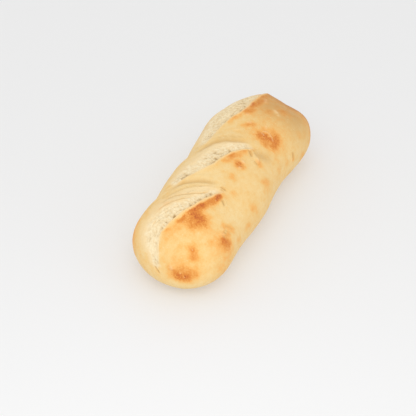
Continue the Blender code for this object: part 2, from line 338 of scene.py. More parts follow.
def place_on_line(points, normals, line):
    """Each point's share along a line, distance across it, way across it and distance past its ends."""
    tree = KDTree(len(line))
    for index, sample in enumerate(line):
        tree.insert(sample, index)
    tree.balance()
    nearest = np.array([tree.find(point)[1] for point in points.tolist()])
    steps = np.linalg.norm(np.diff(line, axis=0), axis=1)
    run = np.concatenate(([0.0], np.cumsum(steps)))
    tangents = np.gradient(line, axis=0)
    tangents /= np.linalg.norm(tangents, axis=1)[:, None]
    tangent = tangents[nearest]
    offset = points - line[nearest]
    ahead = np.sum(offset * tangent, axis=1)
    place = run[nearest] + ahead
    past_ends = np.maximum(place - run[-1], 0.0) + np.maximum(-place, 0.0)
    sideways = np.cross(tangent, normals)
    sideways /= np.maximum(np.linalg.norm(sideways, axis=1), SMALLEST)[:, None]
    aside = offset - tangent * ahead[:, None]
    across = np.linalg.norm(aside, axis=1) * np.sign(np.sum(aside * sideways, axis=1))
    return np.clip(place / run[-1], 0.0, 1.0), across, sideways, past_ends


def refine_beside(mesh, score, line, behind, beyond):
    """Halve the faces from behind a lip to beyond the crumb in front of it."""
    points, normals = shape_of(mesh)
    share, across, _, past_ends = place_on_line(points, normals, line)
    within = (across > -behind) & (across < by_share(score["width"], share) + beyond)
    refine_where(mesh, within & (past_ends < behind))


def cut_beside(mesh, line, distance):
    """Cut the mesh's faces along the line that runs at a distance in front of a lip."""
    points, normals = shape_of(mesh)
    _, across, _, past_ends = place_on_line(points, normals, line)
    short_of = across - distance
    mesh.verts.index_update()
    moves = {}
    crossings = []
    for edge in mesh.edges:
        first, second = (vertex.index for vertex in edge.verts)
        if short_of[first] * short_of[second] >= 0.0 or max(past_ends[first], past_ends[second]) > 0.0:
            continue
        length = np.linalg.norm(points[first] - points[second])
        if max(abs(short_of[first]), abs(short_of[second])) > CROSSING_REACH * length:
            continue
        share = short_of[first] / (short_of[first] - short_of[second])
        crossings.append((edge, first, second, share))
        place = edge.verts[0].co.lerp(edge.verts[1].co, share)
        if share < KEEP_SHARE:
            moves[first] = (edge.verts[0], place)
        elif share > 1.0 - KEEP_SHARE:
            moves[second] = (edge.verts[1], place)
    on_cut = []
    for edge, first, second, share in crossings:
        if first not in moves and second not in moves:
            on_cut.append(bmesh.utils.edge_split(edge, edge.verts[0], share)[1])
    for vertex, place in moves.values():
        vertex.co = place
        on_cut.append(vertex)
    bmesh.ops.connect_verts(mesh, verts=on_cut)


points, normals = shape_of(dough)
uncut = dough.copy()
set_places(uncut, points)
skin = BVHTree.FromBMesh(uncut)
uncut.free()
lines = []
for score in SCORES:
    line = curve_through(score["line"])
    line[:, 1] += LINE_WANDER * ripple(line, *LINE_WAVES)
    lines.append(laid_on(skin, line))
for behind, beyond in FINE_MARGINS:
    for score, line in zip(SCORES, lines):
        refine_beside(dough, score, line, behind, beyond)
for line in lines:
    for distance in LIP_CUTS:
        cut_beside(dough, line, distance)
points, normals = shape_of(dough)
shift = np.zeros_like(points)


# ---------------------------------------------------------------- lips and torn crumb
# In the oven each slit opens. The skin on one side dries, curls up and leans over as a thin lip, and on
# the other the soft dough tears open in layers and bakes as pale, porous crumb.

OPEN_FROM = 0.10
OPEN_TO = 0.92

# The lip, the trough in front of it and the low swelling beyond the trough.
LOW_LIP = 0.0015
LIP_RUN = 0.0085
LIP_CURL = 0.0022
CURL_SHARE = 0.4
LIP_LEAN = 0.25
LIP_UNDERCUT = 0.0005
SOFT_FACE = 0.0030
RIM_DROP = 0.22
RIM_SETBACK = 0.0002
RIM_BREADTH = 0.0006
TROUGH_RISE = 1.6
FULL_DEPTH = 0.0020
OUTER_RISE = 0.00025
OUTER_PLACE = 1.02
OUTER_BREADTH = 0.13

# Where the crumb begins and ends, the end as shares of its width.
SOFT_EDGE = 0.0022
CRUMB_MARGIN = 1.5 * SOFT_EDGE
CRUMB_REACH = 1.6
BARELY_OPEN = 0.01
FRAYING = (0.0040, 15)
RAGGEDNESS = (0.0045, 10)
RAGGED_SHARE = 0.16
TORN_TO = 0.74
WHOLE_FROM = 1.10

# The layers that the crumb tears in, and the cracks between them.
LAYERS = 6.0
LAYER_STEP = 0.00060
LAYER_WANDER = 0.9
LAYER_WAVES = (0.0080, 20)
PATCHINESS = (0.0060, 30)
PATCHY_LEVEL = 0.55
PATCHY_SWING = 1.3
CRACK_BREADTH = 0.10

# The grain of the crumb, and the strands across it, which are less coarse away from the lip.
GRAIN_RISE = 0.00055
GRAIN = (0.0019, 50)
FINE_GRAIN = (0.0009, 60)
FINE_SHARE = 0.6
GRAIN_SHARE = 0.7
STRANDS = (1.0, 40)
STRAND_WIDTH = 0.0011
STRAND_LENGTH = 0.0036
STRAND_SHARE = 0.6
CALMING = 0.45

# The pores, which are fewer away from the lip.
PORE_CELL = 0.0019
SMALL_PORE_CELL = 0.00095
SMALL_PORE_SHARE = 0.55
CELL_RADIUS = 0.55
PORE_DEPTH = 0.0006
PORE_SPREAD = (0.0055, 70)
PORE_LEVEL = 0.85
PORE_FALL = 1.1
PORE_SWING = 1.3

# The larger holes of the crumb: place and radius.
HOLES = (
    ((0.0042, 0.0066, 0.0482), 0.0013),
    ((-0.0044, 0.0093, 0.0481), 0.0010),
    ((0.0114, -0.0023, 0.0479), 0.0009),
    ((-0.0010, 0.0035, 0.0484), 0.0010),
    ((-0.0254, 0.0157, 0.0463), 0.0012),
    ((-0.0187, 0.0197, 0.0450), 0.0008),
    ((-0.0294, 0.0174, 0.0455), 0.0010),
    ((-0.0504, -0.0045, 0.0473), 0.0010),
    ((-0.0544, -0.0028, 0.0475), 0.0009),
    ((-0.0413, -0.0083, 0.0469), 0.0011),
    ((-0.0448, -0.0070, 0.0470), 0.0009),
    ((-0.0585, -0.0010, 0.0476), 0.0009),
    ((-0.0731, 0.0052, 0.0465), 0.0011),
    ((-0.0787, 0.0092, 0.0448), 0.0009),
    ((-0.0833, 0.0100, 0.0429), 0.0008),
    ((0.0560, 0.0110, 0.0472), 0.0010),
    ((0.0640, 0.0100, 0.0475), 0.0009),
    ((0.0480, 0.0160, 0.0460), 0.0009),
    ((0.0705, 0.0092, 0.0472), 0.0010),
    ((0.0752, 0.0120, 0.0458), 0.0010),
    ((0.0668, 0.0132, 0.0463), 0.0008),
)
HOLE_DEPTH = 0.0009
HOLE_EDGE = (0.0016, 75)
HOLE_RAGGED = 0.9

# How strongly the crumb lines the lip, and how much painted shade darkens its hollows between grains and
# strands, and its pores, holes and cracks.
LINING_FROM = 0.5 * RIM_THICKNESS
LINING_CRUMB = 0.8
LINING_SHADE = 0.45
SHADE_LEVEL = 0.45
GRAIN_SHADE = 0.9
STRAND_SHADE = 0.5
PORE_SHADE = 0.62
HOLE_SHADE = 0.9
CRACK_SHADE = 0.30

# The stretched skin beyond the crumb, as shares of its reach, and the way between the cuts' streaks.
STRETCHED_TO = 0.70
SLACK_FROM = 1.15
STREAKS_APART = 0.1

# The browning of the lip and the clear gold strip along its rim.
EMBERS = (0.0050, 80)
EMBER_SWING = 0.8
GOLD_WAVES = (0.0050, 90)
GOLD_SWING = 0.5
GOLD_REACH = 0.010
GOLD_TO = 0.5
BROWN_FROM = 1.3
BROWN_SOFTNESS = 0.0002


def cells(points, size):
    """How deep each point lies in the round cells of a froth, from 0 between them to 1 at a middle."""
    depths = []
    for point in points.tolist():
        distances, _ = noise.voronoi(Vector(point) / size)
        depths.append(max(0.0, 1.0 - distances[0] / CELL_RADIUS))
    return np.array(depths)


count = len(points)
crumb = np.zeros(count)
pit_shade = np.zeros(count)
painted_crumb_shade = np.zeros(count)
rim = np.zeros(count)
stretched = np.zeros(count)
lip_baked = np.zeros(count)
gilded = np.zeros(count)
pull = np.zeros((count, 3))
nearest_cut = np.full(count, 1.0)
for number, (score, line) in enumerate(zip(SCORES, lines)):
    share, across, sideways, past_ends = place_on_line(points, normals, line)
    length = np.linalg.norm(np.diff(line, axis=0), axis=1).sum()
    fade = bell(past_ends, LIP_RUN)
    opening = fade * smooth_step(0.0, OPEN_FROM, share) * (1.0 - smooth_step(OPEN_TO, 1.0, share))

    # The skin rises to the lip, which leans over the trough in front of it.
    behind = np.minimum(across, 0.0)
    lip = by_share(score["lip"], share) * fade
    raised = np.minimum(lip / LOW_LIP, 1.0)
    face = 1.0 - smooth_step(RIM_THICKNESS, LIP_FACE + SOFT_FACE * (1.0 - raised), across)
    underside = smooth_step(0.0, RIM_THICKNESS, across)
    curl = np.exp(behind / LIP_CURL)
    rise = lip * ((1.0 - CURL_SHARE) * np.exp(behind / LIP_RUN) + CURL_SHARE * curl)
    rise = rise * face * (1.0 - RIM_DROP * underside)
    lean = LIP_LEAN * lip * curl * face
    lean -= LIP_UNDERCUT * raised * (1.0 - face) * bell(across - LIP_FACE, LIP_FACE)
    depth = by_share(score["depth"], share) * fade
    crossed = np.clip(across / by_share(score["width"], share), 0.0, None)
    trough = depth * np.clip(1.0 - crossed, 0.0, 1.0) ** TROUGH_RISE * (1.0 - face)
    outer = OUTER_RISE * np.minimum(depth / FULL_DEPTH, 1.0) * bell(crossed - OUTER_PLACE, OUTER_BREADTH)
    shift += normals * (rise - trough + outer)[:, None] + sideways * lean[:, None]
    edge = raised * bell(np.minimum(across + RIM_SETBACK, 0.0), RIM_BREADTH) * face
    rim = np.maximum(rim, edge)

    # The dough in front of the lip is torn, up to a ragged edge.
    torn = np.zeros(count)
    inside = np.nonzero((across > -CRUMB_MARGIN) & (crossed < CRUMB_REACH) & (opening > BARELY_OPEN))[0]
    here = points[inside]
    out = crossed[inside]
    frayed = across[inside] + SOFT_EDGE * ripple(here, *FRAYING, number)
    begun = (1.0 - raised[inside]) * smooth_step(-SOFT_EDGE, SOFT_EDGE, frayed)
    begun += raised[inside] * (1.0 - face[inside])
    ragged = out + RAGGED_SHARE * ripple(here, *RAGGEDNESS, number)
    torn[inside] = opening[inside] * begun * (1.0 - smooth_step(TORN_TO, WHOLE_FROM, ragged))

    # The torn dough bakes as crumb, in layers with strands, grain, pores and holes.
    layer = out * LAYERS + LAYER_WANDER * ripple(here, *LAYER_WAVES, number)
    step = layer - np.floor(layer)
    patchy = np.clip(PATCHY_LEVEL + PATCHY_SWING * ripple(here, *PATCHINESS, number), 0.0, 1.0)
    run = share[inside] * length
    drawn_out = np.stack((run / STRAND_WIDTH, across[inside] / STRAND_LENGTH, 0.0 * run), axis=1)
    strands = ripple(drawn_out, *STRANDS, number)
    grain = ripple(here, *GRAIN, number) + FINE_SHARE * ripple(here, *FINE_GRAIN, number)
    froth = np.maximum(cells(here, PORE_CELL), SMALL_PORE_SHARE * cells(here, SMALL_PORE_CELL))
    porous = PORE_LEVEL - PORE_FALL * out + PORE_SWING * ripple(here, *PORE_SPREAD, number)
    froth = froth * np.clip(porous, 0.0, 1.0)
    holes = np.zeros(len(inside))
    hole_edge = 1.0 + HOLE_RAGGED * ripple(here, *HOLE_EDGE, number)
    for place, radius in HOLES:
        distance = np.linalg.norm(here - np.array(place), axis=1)
        holes = np.maximum(holes, bell(hole_edge * distance, radius))
    coarse = score["coarse"] * (1.0 - CALMING * np.clip(out, 0.0, 1.0))
    threads = GRAIN_RISE * (GRAIN_SHARE * grain + STRAND_SHARE * strands)
    relief = coarse * (threads - LAYER_STEP * (step - 0.5) * patchy)
    relief -= PORE_DEPTH * froth + HOLE_DEPTH * holes
    shift[inside] += normals[inside] * (relief * torn[inside])[:, None]

    # Crumb also lines the underside of the lip, and shade is painted into its hollows, pores, holes and
    # cracks.
    lining = raised * opening * (across > LINING_FROM) * (across < LIP_FACE)
    crumb = np.maximum(crumb, np.maximum(torn, LINING_CRUMB * lining))
    shaded = np.clip(SHADE_LEVEL - GRAIN_SHADE * grain - STRAND_SHADE * strands, 0.0, 1.0)
    painted_crumb_shade[inside] = np.maximum(painted_crumb_shade[inside], shaded)
    painted_crumb_shade = np.where(lining > 0.0, LINING_SHADE, painted_crumb_shade)
    crack = bell(step, CRACK_BREADTH) * patchy
    shaded_pits = PORE_SHADE * froth + HOLE_SHADE * holes + CRACK_SHADE * crack * coarse
    pit_shade[inside] = np.maximum(pit_shade[inside], torn[inside] * np.clip(shaded_pits, 0.0, 1.0))

    # The skin beyond the crumb is stretched, in streaks that follow the nearest cut.
    reach = by_share(score["stretch"], share)
    skin_pull = opening * (across > 0.0) * (1.0 - smooth_step(STRETCHED_TO, SLACK_FROM, across / reach))
    stretched = np.maximum(stretched, skin_pull)
    off_cut = np.abs(across) + past_ends
    closer = off_cut < nearest_cut
    nearest_cut = np.where(closer, off_cut, nearest_cut)
    layout = np.stack((share * length, across, np.full(count, number * STREAKS_APART)), axis=1)
    pull[closer] = layout[closer]

    # The lip is browned from a little behind its rim, and the strip up to there stays gold.
    ember = by_share(score["brown"], share) * fade * face
    uneven = 1.0 + EMBER_SWING * ripple(points, *EMBERS, number)
    setback = by_share(score["gold"], share) * (1.0 + GOLD_SWING * ripple(points, *GOLD_WAVES, number))
    browned = ember * uneven * bell(np.minimum(across + setback, 0.0), by_share(score["spread"], share))
    lip_baked = np.maximum(lip_baked, browned)
    beside = (across > -GOLD_REACH) & (across <= RIM_THICKNESS) & (past_ends < SMALLEST)
    clear = 1.0 - smooth_step(GOLD_TO * setback, BROWN_FROM * setback + BROWN_SOFTNESS, -across)
    gilded = np.where(beside, np.maximum(gilded, clear), gilded)


# ---------------------------------------------------------------- folds, creases and lumps
# The skin sets while the loaf still rises, so it is drawn into long low folds that fan out from the ends
# of the cuts, and creases where a lip lifts away. It is also slightly lumpy, with dimples and pinheads.

# Each fold: its points, half width, depth and how dark its bottom is painted, partly its own tan and
# partly shade.
FOLDS = (
    (((-0.0292, -0.0105, 0.0467), (-0.0305, -0.0021, 0.0479), (-0.0345, 0.0090, 0.0475),
      (-0.0388, 0.0169, 0.0454), (-0.0450, 0.0225, 0.0428)), 0.0021, 0.0009, 0.70),
    (((-0.0322, -0.0100, 0.0469), (-0.0355, -0.0027, 0.0477), (-0.0417, 0.0092, 0.0472),
      (-0.0501, 0.0174, 0.0450), (-0.0580, 0.0245, 0.0410)), 0.0008, 0.0005, 0.45),
    (((-0.0345, -0.0100, 0.0466), (-0.0430, -0.0045, 0.0474), (-0.0486, 0.0059, 0.0474),
      (-0.0536, 0.0146, 0.0459), (-0.0640, 0.0215, 0.0420)), 0.0007, 0.0006, 0.75),
    (((-0.0500, -0.0010, 0.0475), (-0.0560, 0.0085, 0.0468), (-0.0630, 0.0150, 0.0448),
      (-0.0720, 0.0190, 0.0420)), 0.0007, 0.0004, 0.55),
    (((-0.0600, 0.0040, 0.0470), (-0.0680, 0.0110, 0.0455), (-0.0760, 0.0170, 0.0425)),
     0.0006, 0.0003, 0.40),
    (((-0.0480, 0.0200, 0.0440), (-0.0560, 0.0262, 0.0400), (-0.0625, 0.0300, 0.0362)),
     0.0011, 0.0004, 0.30),
    (((-0.0330, 0.0215, 0.0435), (-0.0420, 0.0275, 0.0390), (-0.0480, 0.0305, 0.0350)),
     0.0014, 0.0005, 0.30),
    (((-0.0640, 0.0312, 0.0350), (-0.0622, 0.0291, 0.0376), (-0.0612, 0.0262, 0.0400)),
     0.0009, 0.0006, 0.60),
    (((0.0270, -0.0125, 0.0458), (0.0238, -0.0011, 0.0477), (0.0208, 0.0090, 0.0473),
      (0.0125, 0.0165, 0.0459), (-0.0010, 0.0215, 0.0445)), 0.0028, 0.0008, 0.60),
    (((0.0310, -0.0080, 0.0470), (0.0285, -0.0010, 0.0477), (0.0258, 0.0080, 0.0474),
      (0.0207, 0.0170, 0.0454)), 0.0009, 0.0004, 0.50),
    (((0.0186, -0.0150, 0.0453), (0.0212, -0.0210, 0.0421), (0.0240, -0.0262, 0.0380)),
     0.0034, 0.0008, 0.30),
    (((0.0188, -0.0134, 0.0457), (0.0155, -0.0154, 0.0451), (0.0128, -0.0178, 0.0440)),
     0.0009, 0.0009, 0.75),
    (((0.0112, -0.0196, 0.0432), (0.0100, -0.0216, 0.0420), (0.0096, -0.0238, 0.0405)),
     0.0008, 0.0006, 0.55),
    (((-0.0428, -0.0160, 0.0446), (-0.0448, -0.0184, 0.0436), (-0.0473, -0.0204, 0.0425)),
     0.0008, 0.0007, 0.95),
    (((-0.0308, -0.0110, 0.0466), (-0.0316, -0.0135, 0.0458), (-0.0325, -0.0162, 0.0449)),
     0.0009, 0.0009, 0.85),
    (((-0.0330, -0.0118, 0.0463), (-0.0340, -0.0138, 0.0456), (-0.0345, -0.0155, 0.0450)),
     0.0006, 0.0005, 0.70),
    (((-0.0990, 0.0090, 0.0225), (-0.0996, 0.0067, 0.0202), (-0.1000, 0.0040, 0.0172)),
     0.0006, 0.0006, 1.0),
    (((-0.0820, 0.0178, 0.0404), (-0.0794, 0.0164, 0.0422), (-0.0765, 0.0146, 0.0438)),
     0.0007, 0.0006, 1.0),
    (((-0.0630, -0.0257, 0.0388), (-0.0600, -0.0275, 0.0368), (-0.0572, -0.0302, 0.0328)),
     0.0006, 0.0003, 0.40),
    (((-0.0655, -0.0268, 0.0379), (-0.0632, -0.0288, 0.0352), (-0.0615, -0.0308, 0.0322)),
     0.0006, 0.0003, 0.35),
    (((-0.0674, -0.0270, 0.0377), (-0.0664, -0.0281, 0.0365), (-0.0656, -0.0292, 0.0350)),
     0.0008, 0.0005, 0.75),
    (((-0.0708, -0.0282, 0.0366), (-0.0696, -0.0290, 0.0355), (-0.0688, -0.0298, 0.0343)),
     0.0007, 0.0004, 0.55),
    (((0.0535, -0.0336, 0.0285), (0.0525, -0.0341, 0.0250), (0.0515, -0.0344, 0.0215)),
     0.0008, 0.0006, 0.9),
)
FOLD_REACH = 5.0
FOLD_SHOULDER = 0.5
SHOULDER_PLACE = 2.1
SHOULDER_BREADTH = 1.1
FOLD_BEGUN = 0.25
FOLD_ENDING = 0.70
FOLD_SWING = 0.35
FOLD_WAVES = (0.0060, 100)
LUMP_RISE = 0.00045
LUMPS = (0.0240, 2)
DIMPLE_RISE = 0.00014
DIMPLES = (0.0060, 3)
PINHEAD_RISE = 0.00010
PINHEADS = (0.0024, 4)
PINHEAD_LEVEL = 0.15

crease_shade = np.zeros(count)
for line_points, half_width, depth, tan_and_shade in FOLDS:
    line = laid_on(skin, curve_through(line_points))
    reach = FOLD_REACH * half_width
    low = line.min(axis=0) - reach
    high = line.max(axis=0) + reach
    near = np.nonzero(np.all((points > low) & (points < high), axis=1))[0]
    share, across, _, past_ends = place_on_line(points[near], normals[near], line)
    ends = smooth_step(0.0, FOLD_BEGUN, share) * (1.0 - smooth_step(FOLD_ENDING, 1.0, share))
    ends = ends * (past_ends < SMALLEST)
    varied = half_width * (1.0 + FOLD_SWING * ripple(points[near], *FOLD_WAVES))
    groove = bell(across, varied)
    shoulders = bell(np.abs(across) - SHOULDER_PLACE * varied, SHOULDER_BREADTH * varied)
    shift[near] += normals[near] * (-depth * ends * (groove - FOLD_SHOULDER * shoulders))[:, None]
    # The fold's bottom is painted darker, partly its own tan and partly shade.
    crease_shade[near] = np.maximum(crease_shade[near], ends * groove * tan_and_shade)
# Each blister is raised, and a highlight is painted on its top.
pale = np.zeros(count)
for start, end, radius, rise, paleness in BLISTERS:
    dome = bell(from_segment(points, start, end), radius)
    shift += normals * (rise * dome)[:, None]
    pale = np.maximum(pale, paleness * dome)
for place, radius, rise in SWELLS:
    distance = np.linalg.norm(points - np.array(place), axis=1)
    shift += normals * (rise * bell(distance, radius))[:, None]
shift += normals * (LUMP_RISE * ripple(points, *LUMPS))[:, None]
bare = 1.0 - crumb
shift += normals * (bare * DIMPLE_RISE * ripple(points, *DIMPLES))[:, None]
pinheads = np.maximum(ripple(points, *PINHEADS) - PINHEAD_LEVEL, 0.0)
shift += normals * (bare * PINHEAD_RISE * pinheads)[:, None]


# ---------------------------------------------------------------- browning of the crust
# The oven's heat browns what stands proudest: the thin lips, the blisters and both ends, while
# stretched skin and the low sides stay pale. The far end's duller tone is partly painted shade, and the
# near end's pale bottom partly painted light.

# Each patch lies along a short line: from, to, radius and strength.
PATCHES = (
    ((-0.0708, -0.0074, 0.0467), (-0.0718, -0.0114, 0.0457), 0.0094, 0.50),
    ((-0.0735, -0.0046, 0.0466), (-0.0758, -0.0092, 0.0455), 0.0074, 0.44),
    ((-0.0690, -0.0076, 0.0468), (-0.0708, -0.0110, 0.0461), 0.0066, 0.72),
    ((-0.0470, -0.0137, 0.0455), (-0.0640, -0.0088, 0.0468), 0.0036, 0.46),
    ((-0.0640, -0.0074, 0.0470), (-0.0722, -0.0034, 0.0468), 0.0036, 0.52),
    ((-0.0722, -0.0036, 0.0468), (-0.0812, 0.0006, 0.0449), 0.0040, 0.30),
    ((-0.0412, -0.0142, 0.0453), (-0.0455, -0.0139, 0.0454), 0.0031, 0.68),
    ((-0.0385, -0.0158, 0.0448), (-0.0400, -0.0156, 0.0449), 0.0034, 0.22),
    ((-0.0885, 0.0046, 0.0410), (-0.0800, -0.0010, 0.0450), 0.0050, 0.17),
    ((0.0396, -0.0165, 0.0448), (0.0425, -0.0235, 0.0409), 0.0098, 0.34),
    ((0.0388, -0.0142, 0.0457), (0.0384, -0.0172, 0.0447), 0.0058, 0.48),
    ((0.0402, -0.0168, 0.0446), (0.0406, -0.0205, 0.0430), 0.0052, 0.59),
    ((0.0452, -0.0240, 0.0410), (0.0385, -0.0242, 0.0402), 0.0064, 0.47),
    ((0.0362, -0.0160, 0.0449), (0.0345, -0.0196, 0.0432), 0.0052, 0.40),
    ((-0.0628, -0.0262, 0.0384), (-0.0580, -0.0298, 0.0332), 0.0036, 0.28),
    ((-0.0632, -0.0292, 0.0346), (-0.0690, -0.0306, 0.0326), 0.0032, 0.32),
    ((-0.0745, -0.0287, 0.0350), (-0.0690, -0.0318, 0.0302), 0.0074, 0.31),
    ((-0.0728, -0.0296, 0.0338), (-0.0694, -0.0314, 0.0308), 0.0050, 0.48),
    ((-0.1003, -0.0078, 0.0206), (-0.0996, -0.0160, 0.0208), 0.0076, 0.42),
    ((-0.1004, -0.0092, 0.0192), (-0.0998, -0.0146, 0.0196), 0.0050, 0.58),
    ((-0.0918, -0.0150, 0.0374), (-0.0952, -0.0170, 0.0332), 0.0042, 0.38),
    ((-0.0947, -0.0084, 0.0367), (-0.0940, -0.0110, 0.0367), 0.0050, 0.12),
    ((-0.0006, -0.0130, 0.0464), (-0.0022, -0.0146, 0.0460), 0.0046, 0.50),
    ((0.0064, -0.0080, 0.0474), (-0.0030, -0.0060, 0.0479), 0.0034, 0.38),
    ((-0.0155, -0.0132, 0.0466), (-0.0180, -0.0152, 0.0458), 0.0028, 0.26),
    ((0.0008, -0.0309, 0.0344), (0.0050, -0.0323, 0.0320), 0.0038, 0.30),
    ((0.0005, -0.0322, 0.0316), (-0.0010, -0.0330, 0.0300), 0.0044, 0.12),
    ((-0.0822, -0.0238, 0.0378), (-0.0834, -0.0240, 0.0374), 0.0044, 0.18),
    ((0.0440, -0.0008, 0.0481), (0.0464, -0.0052, 0.0477), 0.0038, 0.27),
    ((0.0120, -0.0225, 0.0417), (0.0104, -0.0246, 0.0402), 0.0026, 0.32),
    ((0.0770, -0.0022, 0.0476), (0.0680, 0.0000, 0.0484), 0.0038, 0.38),
    ((0.0640, 0.0008, 0.0485), (0.0575, 0.0024, 0.0484), 0.0036, 0.36),
    ((0.0520, 0.0062, 0.0480), (0.0445, 0.0112, 0.0470), 0.0030, 0.24),
    ((0.0738, -0.0187, 0.0455), (0.0732, -0.0194, 0.0452), 0.0044, 0.28),
    ((0.0740, -0.0225, 0.0438), (0.0736, -0.0236, 0.0432), 0.0036, 0.14),
    ((0.0672, -0.0100, 0.0480), (0.0668, -0.0108, 0.0479), 0.0030, 0.18),
    ((-0.0298, -0.0200, 0.0431), (-0.0300, -0.0208, 0.0428), 0.0030, 0.16),
    ((-0.0272, -0.0316, 0.0312), (-0.0226, -0.0331, 0.0284), 0.0034, 0.20),
    ((-0.0390, -0.0326, 0.0252), (-0.0352, -0.0336, 0.0230), 0.0027, 0.20),
    ((-0.0552, -0.0325, 0.0244), (-0.0518, -0.0335, 0.0222), 0.0027, 0.18),
    ((0.0524, -0.0338, 0.0262), (0.0518, -0.0343, 0.0222), 0.0020, 0.30),
    ((0.0425, -0.0329, 0.0256), (0.0419, -0.0331, 0.0246), 0.0036, 0.16),
    ((0.0671, -0.0357, 0.0168), (0.0677, -0.0352, 0.0142), 0.0038, 0.18),
    ((0.0294, -0.0321, 0.0272), (0.0288, -0.0323, 0.0262), 0.0040, 0.16),
    ((0.0680, -0.0330, 0.0332), (0.0678, -0.0334, 0.0322), 0.0034, 0.14),
    ((-0.0665, 0.0172, 0.0446), (-0.0605, 0.0146, 0.0459), 0.0040, 0.28),
    ((-0.0701, 0.0180, 0.0439), (-0.0760, 0.0212, 0.0411), 0.0034, 0.16),
    ((0.0905, 0.0010, 0.0460), (0.0940, 0.0040, 0.0440), 0.0044, 0.45),
)

# Broad areas that are browner or, below zero, paler than the rest: place, radius and strength.
AREAS = (
    ((-0.0940, -0.0060, 0.0330), 0.0160, 0.06),
    ((-0.0960, -0.0220, 0.0200), 0.0150, 0.06),
    ((-0.0820, -0.0280, 0.0300), 0.0150, 0.06),
    ((-0.0790, -0.0330, 0.0180), 0.0110, 0.12),
    # These two paler areas at the bottom of the near end are partly flour-pale and partly painted light
    # thrown up from the board.
    ((-0.0990, -0.0080, 0.0085), 0.0100, -0.22),
    ((-0.0945, -0.0240, 0.0105), 0.0095, -0.20),
    ((-0.0790, 0.0335, 0.0230), 0.0120, 0.24),
    ((-0.0670, 0.0345, 0.0290), 0.0100, 0.22),
    ((-0.0260, 0.0000, 0.0480), 0.0150, -0.09),
    ((-0.0550, -0.0250, 0.0380), 0.0140, -0.02),
    ((0.0480, -0.0140, 0.0460), 0.0130, 0.07),
    ((0.0720, -0.0130, 0.0465), 0.0180, 0.16),
    ((0.0900, -0.0080, 0.0430), 0.0110, 0.16),
    ((0.1000, -0.0140, 0.0260), 0.0180, 0.34),
    ((0.0985, 0.0120, 0.0300), 0.0150, 0.12),
    ((0.0930, -0.0330, 0.0220), 0.0140, 0.36),
    ((0.0970, -0.0190, 0.0360), 0.0095, 0.40),
    ((0.0000, -0.0360, 0.0180), 0.0500, 0.03),
)

# Duller stretches, mostly at the far end, partly toasted and partly painted shade where less light
# reaches, and painted shade in the hollow beside the second cut: from, to, radius and strength.
TOASTED_AND_SHADED = (
    ((0.0770, -0.0080, 0.0475), (0.0765, -0.0250, 0.0420), 0.0175, 0.60),
    ((0.0890, -0.0040, 0.0440), (0.0910, -0.0190, 0.0400), 0.0080, 0.66),
    ((0.0915, -0.0230, 0.0375), (0.0925, -0.0330, 0.0250), 0.0075, 0.50),
    ((0.0905, 0.0012, 0.0440), (0.0872, -0.0012, 0.0450), 0.0036, 0.50),
    ((0.0206, -0.0205, 0.0425), (0.0232, -0.0250, 0.0390), 0.0044, 0.30),
    ((0.0480, 0.0300, 0.0350), (0.0760, 0.0330, 0.0330), 0.0090, 0.12),
)

# A patch has a ragged core and a soft halo, given in shares of its radius.
CORE_FROM = 1.25
CORE_TO = 0.05
CORE_RAGGED = 0.22
PATCH_EDGE = (0.0048, 5)
FINE_PATCH_EDGE = (0.0019, 6)
FINE_EDGE_SHARE = 0.7
HALO_RADIUS = 1.7
PATCH_HALO = 0.34

# A patch is smooth up to the first strength and fully covered in pinhead blisters from the second.
SMOOTH_PATCH = 0.30
ROUGH_PATCH = 0.60
ROUGH_RISE = 0.00025
ROUGHENING = (0.0012, 9)

# How the kinds of browning add up: brown covers the toasting and painted shade and the paleness, and the
# gold strip stays clear.
LIP_BROWN = 0.62
LIP_ROUGH = 0.3
GOLD_CLEAR = 0.85
GOLD_GLOW = 0.08
BROWN_COVER = 2.0
TOAST_AND_SHADE_COVERED = 0.7
STRETCH_PALE = 0.7

# The far end is painted duller, partly as toasting and partly as shade where less light reaches it.
toast_and_shade = np.zeros(count)
for start, end, radius, strength in TOASTED_AND_SHADED:
    toast_and_shade = np.maximum(toast_and_shade, strength * bell(from_segment(points, start, end), radius))
baked = np.zeros(count)
for place, radius, strength in AREAS:
    baked += strength * bell(np.linalg.norm(points - np.array(place), axis=1), radius)
uneven = ripple(points, *PATCH_EDGE) + FINE_EDGE_SHARE * ripple(points, *FINE_PATCH_EDGE)
spots = np.zeros(count)
spotted = np.zeros(count)
for start, end, radius, strength in PATCHES:
    distance = from_segment(points, start, end) / radius
    core = 1.0 - smooth_step(CORE_TO, CORE_FROM, distance + CORE_RAGGED * uneven)
    halo = bell(distance, HALO_RADIUS)
    spots = np.maximum(spots, strength * ((1.0 - PATCH_HALO) * core + PATCH_HALO * halo))
    spotted = np.maximum(spotted, core * smooth_step(SMOOTH_PATCH, ROUGH_PATCH, strength))
browned = np.maximum(spots, LIP_BROWN * lip_baked)
baked += browned * (1.0 - GOLD_CLEAR * gilded) + GOLD_GLOW * gilded
toast_and_shade *= 1.0 - TOAST_AND_SHADE_COVERED * np.clip(BROWN_COVER * browned, 0.0, 1.0)
spotted = np.maximum(spotted, LIP_ROUGH * lip_baked)
baked = baked * (1.0 - STRETCH_PALE * stretched * (1.0 - np.clip(BROWN_COVER * spots, 0.0, 1.0)))
rough = spotted * np.maximum(0.0, ripple(points, *ROUGHENING))
shift += normals * (ROUGH_RISE * rough)[:, None]


# ---------------------------------------------------------------- the finished loaf
# The baked loaf is one piece, with its crust and crumb grown together. Its cuts, folds and blisters are
# put on the dough, and it is laid in the place of its solid.

